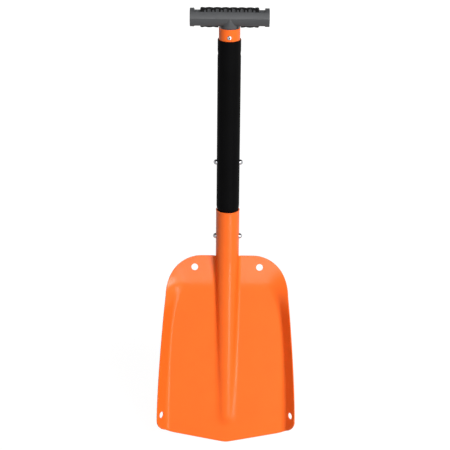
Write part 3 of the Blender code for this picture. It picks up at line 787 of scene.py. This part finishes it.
def middle_tube_mesh():
    """The black tube, with its lower end swaged down to a neck that enters the socket."""
    outside = [(NECK_OUT, -NECK_LENGTH)]
    inside = [(NECK_IN, -NECK_LENGTH)]
    for k in range(SWAGE_STEPS + 1):
        turn = pi / 2 * k / SWAGE_STEPS
        height = SWAGE_END + (SWAGE_START - SWAGE_END) * (1 - cos(turn))
        outside.append((NECK_OUT + (MIDDLE_OUT - NECK_OUT) * sin(turn), height))
        inside.append((NECK_IN + (MIDDLE_IN - NECK_IN) * sin(turn), height + TUBE_WALL / 2))
    outside.append((MIDDLE_OUT, MIDDLE_TOP))
    inside.append((MIDDLE_IN, MIDDLE_TOP))
    mesh = lathe("middle_tube", rounded(outside + inside[::-1], TUBE_LIP, True), (0, 0, 1), True, ROUND)
    levels = (LOWER_LEVEL, UPPER_LEVEL, LONG_LEVEL)
    return boolean(mesh, joined([drill(LOCK_HOLE, TUBE_CUT, (0, 0, z), (1, 0, 0)) for z in levels]))


def handle_tube_mesh():
    profile = [(HANDLE_IN, HANDLE_FOOT), (HANDLE_OUT, HANDLE_FOOT)]
    profile += [(HANDLE_OUT, HANDLE_TOP), (HANDLE_IN, HANDLE_TOP)]
    mesh = lathe("handle_tube", rounded(profile, TUBE_LIP, True), (0, 0, 1), True, ROUND)
    lock = drill(LOCK_HOLE, TUBE_CUT, (0, 0, UPPER_LEVEL), (1, 0, 0))
    rivets = drill(RIVET_HOLE, TUBE_CUT, (0, 0, RIVET_Z), (0, 1, 0))
    return boolean(mesh, joined([lock, rivets]))


# Spring clips and snap buttons


def leaf_face(wall):
    """How far the leaf's outer face lies from the shaft's axis, clear of a tube of that inner radius."""
    return sqrt(wall**2 - (LEAF_WIDTH / 2) ** 2) - SEAT_GAP


def clip_half_mesh(wall, level, side):
    """Half of a V-shaped leaf: the pad that carries a button, a leg, and half of the round bend above."""
    pad = leaf_face(wall) - LEAF_THICK / 2
    path = [(pad, -LEAF_PAD + 2 * LEAF_PAD * k / LEAF_STEPS) for k in range(LEAF_STEPS + 1)]
    for k in range(1, LEAF_STEPS + 1):
        t = k / LEAF_STEPS
        path.append((pad + (LEAF_BEND_RADIUS - pad) * t, LEAF_PAD + (LEAF_RISE - LEAF_PAD) * t))
    for k in range(1, LEAF_STEPS + 1):
        turn = pi / 2 * k / LEAF_STEPS
        path.append((LEAF_BEND_RADIUS * cos(turn), LEAF_RISE + LEAF_BEND_RADIUS * sin(turn)))
    points, faces = [], []
    for x, z in path:
        points += [(side * x, LEAF_WIDTH * (k / LEAF_STEPS - 0.5), level + z) for k in range(LEAF_STEPS + 1)]
    width = LEAF_STEPS + 1
    for r in range(len(path) - 1):
        for c in range(LEAF_STEPS):
            a = r * width + c
            faces.append([a, a + 1, a + width + 1, a + width])
    leaf = thick_sheet("leaf", points, faces, LEAF_THICK, LEAF_EDGE)
    hole = 2 * BUTTON_TAIL + 2 * SEAT_GAP
    return boolean(leaf, drill(hole, TUBE_CUT, (0, 0, level), (1, 0, 0)))


def button_mesh(wall, level, side):
    """A domed button, with a tail and an inner head that grip the leaf."""
    face = leaf_face(wall)
    tip = wall + BUTTON_REACH
    back = face - LEAF_THICK - SEAT_GAP
    profile = [(0, back - BUTTON_HEAD_THICK), (BUTTON_HEAD, back - BUTTON_HEAD_THICK), (BUTTON_HEAD, back)]
    profile += [(BUTTON_TAIL, back), (BUTTON_TAIL, face + SEAT_GAP), (BUTTON_RADIUS, face + SEAT_GAP)]
    profile.append((BUTTON_RADIUS, tip - BUTTON_RADIUS))
    profile = rounded(profile, BUTTON_ROUNDING, False)
    for k in range(1, DOME_STEPS):
        turn = pi / 2 * k / DOME_STEPS
        profile.append((BUTTON_RADIUS * cos(turn), tip - BUTTON_RADIUS * (1 - sin(turn))))
    profile.append((0, tip))
    mesh = lathe("button", profile, (side, 0, 0), False, SMALL_ROUND)
    mesh.transform(Matrix.Translation((0, 0, level)))
    return mesh


def make_lock(word, wall, level, steel, chrome):
    """The two halves of a clip, left on no body, and the two buttons."""
    for side, hand in ((-1, "left"), (1, "right")):
        button_body = f"{word}_{hand}_button"
        button = f"{word}_button_{hand}"
        mesh = button_mesh(wall, level, side)
        add_piece(button + "_plated", mesh, chrome, button_body, "button_chrome", button)
        leaf = clip_half_mesh(wall, level, side)
        clip = word + "_clip_spring"
        piece = add_piece(f"{clip}_{hand}", leaf, steel, None, "spring_steel", clip)
        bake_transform(piece)


# T-handle


def around_bar(x, radius, angle):
    return Vector((x, -radius * cos(angle), BAR_Z + radius * sin(angle)))


def front_radius(angle):
    """The grey front of the bar: two soft flats that meet in a crease near the middle of the front."""
    flats = []
    for low, high in ((FRONT_CREASE, FRONT_TOP), (FRONT_UNDER, FRONT_CREASE)):
        middle = (low + high) / 2
        flats.append(BAR_RADIUS * cos((high - low) / 2) / cos(angle - middle))
    if abs(angle - FRONT_CREASE) < CREASE_REACH:
        flat = -smooth_max(-flats[0], -flats[1], CREASE_ROUNDING)
    elif angle > FRONT_CREASE:
        flat = flats[0]
    else:
        flat = flats[1]
    return BAR_BULGE * BAR_RADIUS + (1 - BAR_BULGE) * flat


def rest_radius(x):
    """The rest of the bar along its length: under the grip, the end groove, and the end flange."""
    wall = GROOVE_WALL / 2
    into_groove = smooth_share(abs(x), GRIP_HALF - wall, GRIP_HALF + wall)
    onto_flange = smooth_share(abs(x), GROOVE_OUT - wall, GROOVE_OUT + wall)
    radius = UNDER_GRIP_RADIUS + (GROOVE_RADIUS - UNDER_GRIP_RADIUS) * into_groove
    return radius + (BAR_RADIUS - GROOVE_RADIUS) * onto_flange


def opening_distance(across, rise, half, top):
    """How far a spot lies outside an upright opening with a round top. It is negative inside."""
    return hypot(across, max(0.0, rise - top + half)) - half


def arch_distance(x, angle):
    """How far a spot of the bar lies outside the nearest arched opening of the grip."""
    crown = RIB_PITCH * (x // RIB_PITCH + 0.5)
    if abs(crown) > GRIP_END - RIB_PITCH / 2:
        return RIB_PITCH
    return opening_distance(abs(x - crown), (angle - FRONT_TOP) * BAR_RADIUS, ARCH_HALF, ARCH_RISE)


def dimple(x, angle):
    """Depth of the hollow that shows in an arched opening. It runs out at the bar's front."""
    inside = min(1.0, max(0.0, -arch_distance(x, angle) / ARCH_HALF))
    fade = smooth_share((angle - FRONT_TOP) * BAR_RADIUS, 0, DIMPLE_RUN)
    return DIMPLE_DEPTH * fade * (1 - (1 - inside) ** 2)


def neck_radius(x, angle, start):
    """The neck's surface round the bar's axis: narrow at the crease and spreading to a round foot."""
    radius = start
    for _ in range(NECK_PASSES):
        drop = -radius * sin(angle)
        half = min(NECK_RADIUS, NECK_HALF_TOP + NECK_SPREAD * drop)
        depth = NECK_RADIUS * sqrt(max(0.0, 1 - (x / half) ** 2))
        radius = min(depth / max(abs(cos(angle)), LEAST_COSINE), NECK_DROP / -sin(angle))
    return radius


def core_radius(x, angle):
    """The grey core's surface round the bar's axis. The angle runs from -pi to pi."""
    past = max(angle - FRONT_TOP, FRONT_UNDER - angle)
    wall = GROOVE_WALL / 2 / BAR_RADIUS
    share = smooth_share(past, -wall, wall)
    radius = rest_radius(x) - dimple(x, angle)
    if share < 1:
        inside = min(FRONT_TOP, max(FRONT_UNDER, angle))
        radius = front_radius(inside) * (1 - share) + radius * share
    over = max(0.0, abs(x) - (BAR_HALF - BAR_ROUNDING))
    radius -= BAR_ROUNDING - sqrt(max(0.0, BAR_ROUNDING**2 - over**2))
    if sin(angle) < 0 and abs(x) < NECK_RADIUS:
        radius = smooth_max(radius, neck_radius(x, angle, radius), NECK_FILLET)
    return radius


def core_stations():
    """Places along the bar: even ones, and close ones at the groove's walls and the rounded ends."""
    count = int(BAR_HALF / BAR_X_STEP)
    places = {round(k * BAR_X_STEP, 7) for k in range(count + 1)}
    for wall in (GRIP_HALF, GROOVE_OUT):
        for k in range(-WALL_STEPS, WALL_STEPS + 1):
            places.add(round(wall + GROOVE_WALL * k / (2 * WALL_STEPS), 7))
    for k in range(BAR_END_STEPS + 1):
        places.add(round(BAR_HALF - BAR_ROUNDING * (1 - sin(pi / 2 * k / BAR_END_STEPS)), 7))
    half = sorted(places)
    return [-x for x in half[:0:-1]] + half


def core_angles():
    """Angles round the bar: even ones, and close ones at the edges of the front."""
    count = round(2 * pi / FRONT_STEP)
    angles = {round(-pi + 2 * pi * k / count, 6) for k in range(count)}
    wall = GROOVE_WALL / BAR_RADIUS
    for edge in (FRONT_TOP, FRONT_UNDER):
        for k in range(-WALL_STEPS, WALL_STEPS + 1):
            angles.add(round(edge + wall * k / (2 * WALL_STEPS), 6))
    angles |= {round(CREASE_STEP * k, 6) for k in range(-CREASE_STEPS, CREASE_STEPS + 1)}
    return sorted(angles)


def tee_core_mesh():
    """The grey bar with its neck, and the hollow spigot inside the handle tube, with its rivet holes."""
    angles = core_angles()
    rings = [[around_bar(x, core_radius(x, t), t) for t in angles] for x in core_stations()]
    bar = loft("tee_core", rings)
    profile = [(0, SPIGOT_BORE_TOP), (SPIGOT_BORE, SPIGOT_BORE_TOP), (SPIGOT_BORE, SPIGOT_FOOT)]
    profile += [(SPIGOT_RADIUS, SPIGOT_FOOT), (SPIGOT_RADIUS, SPIGOT_TOP)]
    profile += [(NECK_RADIUS - NECK_FILLET, SPIGOT_TOP), (NECK_RADIUS - NECK_FILLET, BAR_Z), (0, BAR_Z)]
    spigot = lathe("tee_spigot", profile, (0, 0, 1), False, ROUND)
    core = boolean(bar, spigot, "UNION")
    return boolean(core, drill(RIVET_HOLE, TUBE_CUT, (0, 0, RIVET_Z), (0, 1, 0)))


def rib_height(x):
    """Rounded ribs side by side along the grip, with a valley at its middle. They fade out at its ends."""
    fade = min(1.0, (GRIP_END - abs(x)) / RIB_END_RUN)
    return RIB_HEIGHT * fade * abs(sin(pi * x / RIB_PITCH)) ** RIB_ROUNDNESS


def grip_end_angle(x):
    """Angle of the grip's lower edge, which is cut round the handle tube."""
    end = 2 * pi + FRONT_UNDER
    if abs(x) < NOTCH_HALF:
        end -= NOTCH_RISE * (1 - (abs(x) / NOTCH_HALF) ** NOTCH_POWER) ** (1 / NOTCH_POWER)
    return end


def grip_angles(end):
    """Angles round the grip: close ones where the openings are, and closer towards the lower edge."""
    loops = [FRONT_TOP + LOOP_ZONE * k / LOOP_STEPS for k in range(LOOP_STEPS)]
    start = FRONT_TOP + LOOP_ZONE
    return loops + [start + (end - start) * sin(pi / 2 * k / GRIP_STEPS) for k in range(GRIP_STEPS + 1)]


def edge_distance(x, angle, end):
    """How far a spot of the grip lies from its nearest edge: front, lower edge, arch or slot."""
    rise = (angle - FRONT_TOP) * BAR_RADIUS
    from_valley = abs(x - RIB_PITCH * round(x / RIB_PITCH))
    slot = opening_distance(from_valley, rise, SLOT_HALF, SLOT_RISE)
    return min(rise, (end - angle) * BAR_RADIUS, slot, arch_distance(x, angle))


def round_over(distance):
    """How much of its height a rounded edge has at a distance from it."""
    past = 1 - min(1.0, max(0.0, distance) / GRIP_ROUNDING)
    return sqrt(1 - past * past)


def tee_grip_mesh():
    """The soft grip: a ribbed sleeve, cut round the handle tube. It dips into the core at its openings."""
    count = round(2 * GRIP_END / GRIP_X_STEP)
    rings = []
    for k in range(count + 1):
        x = -GRIP_END + 2 * GRIP_END * k / count
        end = grip_end_angle(x)
        angles = grip_angles(end)
        ring = []
        for t in angles:
            fade = min(1.0, (t - FRONT_TOP) / RIB_FADE, (end - t) / RIB_FADE)
            height = GRIP_RADIUS - GRIP_BURIED + rib_height(x) * fade
            height *= round_over(edge_distance(x, t, end)) * round_over(GRIP_END - abs(x) + GRIP_LIP)
            ring.append(around_bar(x, GRIP_BURIED + height, t))
        inside = GRIP_BURIED - GRIP_ROUNDING
        rings.append(ring + [around_bar(x, inside, t) for t in angles[::-1]])
    return loft("tee_grip", rings)


# Rivets


def rivet_mesh(front):
    """A blind rivet: domed head outside the tube, hollow shank, and a set tail in the spigot."""
    profile = [(RIVET_BORE, RIVET_SET - RIVET_TAIL_LENGTH), (RIVET_TAIL, RIVET_SET - RIVET_TAIL_LENGTH / 2)]
    profile += [(RIVET_TAIL, RIVET_SET), (RIVET_SHANK, RIVET_SET), (RIVET_SHANK, RIVET_UNDER)]
    profile.append((RIVET_HEAD, RIVET_UNDER))
    for k in range(1, DOME_STEPS + 1):
        turn = pi / 2 * k / DOME_STEPS
        radius = RIVET_BORE + (RIVET_HEAD - RIVET_BORE) * cos(turn)
        profile.append((radius, RIVET_UNDER + RIVET_HEAD_THICK * sin(turn)))
    mesh = lathe("rivet", profile, (0, front, 0), True, SMALL_ROUND)
    mesh.transform(Matrix.Translation((0, 0, RIVET_Z)))
    return mesh


def stem_mesh(front):
    """The broken-off stem that stays inside a blind rivet, with its head behind the tail."""
    outer = RIVET_UNDER + RIVET_HEAD_THICK - STEM_RECESS
    head = RIVET_SET - RIVET_TAIL_LENGTH - SEAT_GAP
    profile = [(0, head - STEM_HEAD_LENGTH), (STEM_HEAD, head - STEM_HEAD_LENGTH), (STEM_HEAD, head)]
    profile += [(STEM_RADIUS, head), (STEM_RADIUS, outer), (0, outer)]
    mesh = lathe("stem", rounded(profile, STEM_ROUNDING, False), (0, front, 0), False, SMALL_ROUND)
    mesh.transform(Matrix.Translation((0, 0, RIVET_Z)))
    return mesh


# Stage


def add_lamp(name, azimuth, elevation, distance, size, power):
    """A soft light (width, height) that faces the shovel. Azimuth runs from the front to the right."""
    lamp = bpy.data.lights.new(name, "AREA")
    lamp.shape = "RECTANGLE"
    lamp.size, lamp.size_y = size
    lamp.energy = power
    thing = bpy.data.objects.new(name, lamp)
    thing.visible_camera = False
    bpy.context.scene.collection.objects.link(thing)
    turn, rise = radians(azimuth), radians(elevation)
    back = Vector((sin(turn) * cos(rise), -cos(turn) * cos(rise), sin(rise)))
    thing.location = RIM + back * distance
    thing.rotation_mode = "QUATERNION"
    thing.rotation_quaternion = (-back).to_track_quat("-Z", "Y")
    return thing


def seen_directly(tree):
    """One for rays that show the background as it is: from the camera, and by mirror or glass."""
    path = tree.nodes.new("ShaderNodeLightPath")
    total = path.outputs["Is Camera Ray"]
    for name in ("Is Glossy Ray", "Is Transmission Ray"):
        larger = tree.nodes.new("ShaderNodeMath")
        larger.operation = "MAXIMUM"
        tree.links.new(total, larger.inputs[0])
        tree.links.new(path.outputs[name], larger.inputs[1])
        total = larger.outputs[0]
    return total


def mix_shaders(tree, share, first, second):
    mix = tree.nodes.new("ShaderNodeMixShader")
    if isinstance(share, float):
        mix.inputs[0].default_value = share
    else:
        tree.links.new(share, mix.inputs[0])
    tree.links.new(first.outputs[0], mix.inputs[1])
    tree.links.new(second.outputs[0], mix.inputs[2])
    return mix


def make_world():
    """A soft fill. The backdrop round the horizon shows white, under a dim ceiling."""
    world = bpy.data.worlds.new("studio")
    world.use_nodes = True
    tree = world.node_tree
    tree.nodes.clear()
    fill = tree.nodes.new("ShaderNodeBackground")
    fill.inputs["Strength"].default_value = FILL_LEVEL
    white = tree.nodes.new("ShaderNodeBackground")
    for node in (fill, white):
        node.inputs["Color"].default_value = (1, 1, 1, 1)
    direction = tree.nodes.new("ShaderNodeTexCoord")
    split = tree.nodes.new("ShaderNodeSeparateXYZ")
    tree.links.new(direction.outputs["Generated"], split.inputs[0])
    ceiling = tree.nodes.new("ShaderNodeMapRange")
    ceiling.inputs["From Min"].default_value, ceiling.inputs["From Max"].default_value = CEILING
    ceiling.inputs["To Min"].default_value = 1
    ceiling.inputs["To Max"].default_value = FILL_LEVEL
    tree.links.new(split.outputs["Z"], ceiling.inputs["Value"])
    tree.links.new(ceiling.outputs["Result"], white.inputs["Strength"])
    output = tree.nodes.new("ShaderNodeOutputWorld")
    tree.links.new(mix_shaders(tree, seen_directly(tree), fill, white).outputs[0], output.inputs["Surface"])
    bpy.context.scene.world = world


def make_floor():
    """A white floor that shows a faint shadow, throws little light back and fades into the backdrop."""
    material = bpy.data.materials.new("pale_floor")
    material.use_nodes = True
    tree = material.node_tree
    tree.nodes.clear()
    bounce = tree.nodes.new("ShaderNodeBsdfDiffuse")
    bounce.inputs["Color"].default_value = FLOOR_BOUNCE
    matt = tree.nodes.new("ShaderNodeBsdfDiffuse")
    matt.inputs["Color"].default_value = FLOOR_COLOUR
    glow = tree.nodes.new("ShaderNodeEmission")
    place = tree.nodes.new("ShaderNodeTexCoord")
    distance = tree.nodes.new("ShaderNodeVectorMath")
    distance.operation = "LENGTH"
    tree.links.new(place.outputs["Object"], distance.inputs[0])
    fade = tree.nodes.new("ShaderNodeMapRange")
    fade.inputs["From Min"].default_value, fade.inputs["From Max"].default_value = FLOOR_FADE
    fade.inputs["To Min"].default_value = FLOOR_BRIGHTNESS
    fade.inputs["To Max"].default_value = 1 / FLOOR_GLOW
    tree.links.new(distance.outputs["Value"], fade.inputs["Value"])
    tree.links.new(fade.outputs["Result"], glow.inputs["Strength"])
    shown = mix_shaders(tree, FLOOR_GLOW, matt, glow)
    output = tree.nodes.new("ShaderNodeOutputMaterial")
    whole = mix_shaders(tree, seen_directly(tree), bounce, shown)
    tree.links.new(whole.outputs[0], output.inputs["Surface"])
    reach = FLOOR_HALF_WIDTH
    corners = [(-reach, -reach, 0), (reach, -reach, 0), (reach, reach, 0), (-reach, reach, 0)]
    floor = bpy.data.objects.new("floor", mesh_from("floor", corners, [[0, 1, 2, 3]]))
    floor.data.materials.append(material)
    bpy.context.scene.collection.objects.link(floor)


def make_camera():
    camera = bpy.data.cameras.new("camera")
    camera.lens = LENS
    thing = bpy.data.objects.new("camera", camera)
    bpy.context.scene.collection.objects.link(thing)
    back = Vector((0, -cos(CAMERA_PITCH), sin(CAMERA_PITCH)))
    target = RIM - Vector((0, 0, TARGET_DROP))
    thing.location = target + back * CAMERA_DISTANCE + Vector((CAMERA_SIDE, 0, 0))
    thing.rotation_mode = "QUATERNION"
    roll = Quaternion((0, 0, 1), CAMERA_ROLL)
    thing.rotation_quaternion = (-back).to_track_quat("-Z", "Y") @ roll
    bpy.context.scene.camera = thing


def main():
    # The orange coat's darker edge colour is painted shade along the sheet's edges and hole rims.
    orange = coat("orange_coat", (0.98, 0.15, 0.014), 0.03, (0.6, 0.08, 0.012), 0.22, (1, 0.7, 0.25),
                  (0.5, 0.6), 0.42)
    black = coat("black_coat", (0.0038, 0.0038, 0.004), 0.1, (0.01, 0.01, 0.011), 0.015, (1, 1, 1),
                 (0.42, 0.52), 0.0)
    plastic = moulded("grey_plastic", (0.074, 0.076, 0.08), 0.07, (0.105, 0.107, 0.112), 0.24,
                      (0.3, 0.4), 0.5 * MM, 0.03 * MM)
    rubber = moulded("grip_rubber", (0.007, 0.007, 0.0074), 0.1, (0.014, 0.014, 0.015), 0.12,
                     (0.5, 0.7), 0.35 * MM, 0.02 * MM)
    steel = bare_metal("spring_steel", (0.5, 0.5, 0.52), (0.36, 0.36, 0.37), (0.25, 0.42), (1, 1, 12))
    chrome = bare_metal("button_chrome", (0.42, 0.42, 0.44), (0.32, 0.32, 0.33), (0.1, 0.24), (1, 6, 1))
    # The stem's near-black colour is painted shade for the hollow at each rivet's centre.
    stem_steel_painted_shade = bare_metal("stem_steel_painted_shade", (0.06, 0.058, 0.056), (0.04, 0.04, 0.04), (0.4, 0.6), (1, 1, 1))
    aluminium = bare_metal("rivet_aluminium", (0.55, 0.55, 0.57), (0.44, 0.44, 0.45), (0.22, 0.4), (5, 1, 1))

    blade = boolean(blade_mesh(), blade_drills())
    add_piece("blade_sheet", blade, orange, "blade", "orange_coat", "blade")
    add_piece("middle_tube_shell", middle_tube_mesh(), black, "middle", "black_coat", "middle_tube")
    add_piece("handle_tube_shell", handle_tube_mesh(), orange, "handle", "orange_coat", "handle_tube")
    make_lock("lower", NECK_IN, LOWER_LEVEL, steel, chrome)
    make_lock("upper", HANDLE_IN, UPPER_LEVEL, steel, chrome)
    add_piece("tee_core_moulding", tee_core_mesh(), plastic, "handle", "grey_plastic", "tee_core")
    add_piece("tee_grip_sleeve", tee_grip_mesh(), rubber, "handle", "grip_rubber", "tee_grip")
    for word, front in (("front", -1), ("rear", 1)):
        rivet = "rivet_" + word
        stem = "rivet_stem_" + word
        add_piece(rivet + "_set", rivet_mesh(front), aluminium, "handle", "rivet_aluminium", rivet)
        add_piece(stem + "_set", stem_mesh(front), stem_steel_painted_shade, "handle", "spring_steel", stem)

    make_world()
    make_floor()
    for light in SOFT_LIGHTS:
        add_lamp(*light)
    add_lamp(*BACK_LIGHT).visible_glossy = False
    make_camera()
    bpy.context.scene.view_settings.view_transform = "Standard"


main()
